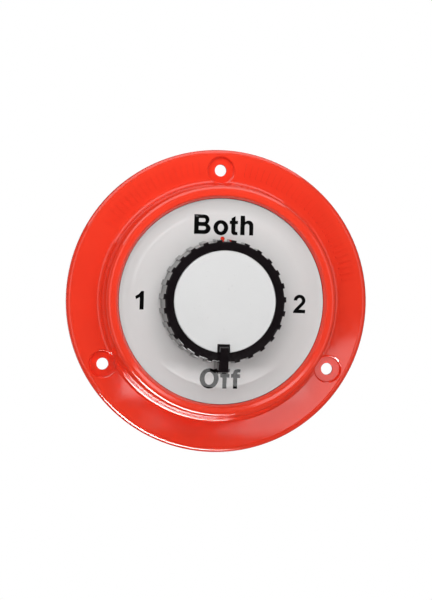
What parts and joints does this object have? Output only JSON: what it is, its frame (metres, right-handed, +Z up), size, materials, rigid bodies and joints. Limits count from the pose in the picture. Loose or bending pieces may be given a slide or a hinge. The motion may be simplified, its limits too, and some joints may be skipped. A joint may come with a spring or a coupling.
{
  "type": "battery selector switch",
  "caption": "Round panel-mount marine battery selector: red flanged housing with raised collar, white dial, ribbed black knob with pointer, black rear base and terminal studs.",
  "frame": {"origin": "centre of the three-screw circle on the flange's back face, where the switch axis meets the panel", "axes": "+Y along the switch axis, out of the back towards the terminals; the dial and knob face -Y; +Z up, towards the dial's upper position"},
  "size_m": [0.1302, 0.086, 0.1302],
  "materials": {
    "housing_red": "glossy injection-moulded red plastic",
    "dial_white": "glossy white moulded plastic",
    "cap_white": "satin white plastic disc",
    "knob_black": "glossy black moulded plastic",
    "base_black": "black glass-filled moulding, fine moulded texture",
    "rotor_plastic": "natural acetal",
    "copper": "bare copper, lightly tarnished",
    "stud_metal": "tin-plated brass",
    "zinc_steel": "stainless steel hardware",
    "spring_steel": "spring steel",
    "seal_rubber": "black nitrile rubber",
    "legend_black": "printed ink on the dial"
  },
  "bodies": {
    "housing": {"front_housing": "housing_red", "dial_plate": "dial_white", "detent_spring_left": "spring_steel", "detent_spring_right": "spring_steel", "thrust_washer": "zinc_steel", "rear_base": "base_black", "base_gasket": "seal_rubber", "cover_screws": "zinc_steel", "collector_plate": "copper", "stud_1": "stud_metal", "stud_2": "stud_metal", "stud_common": "stud_metal", "stud_washers": "zinc_steel", "jam_nuts": "zinc_steel", "lock_washers": "zinc_steel", "terminal_nuts": "zinc_steel"},
    "rotor": {"knob": "knob_black", "knob_cap": "cap_white", "knob_screw": "zinc_steel", "knob_washer": "zinc_steel", "rotor": "rotor_plastic", "shaft_ring": "seal_rubber", "moving_contact": "copper", "centre_spring": "spring_steel", "arm_springs": "spring_steel"}
  },
  "joints": [
    {"name": "knob_turn", "type": "hinge", "parent": "housing", "child": "rotor", "pos_m": [0, 0, 0], "axis": [0, 1, 0], "continuous": true, "deforming": ["detent_spring_left", "detent_spring_right"]}
  ]
}
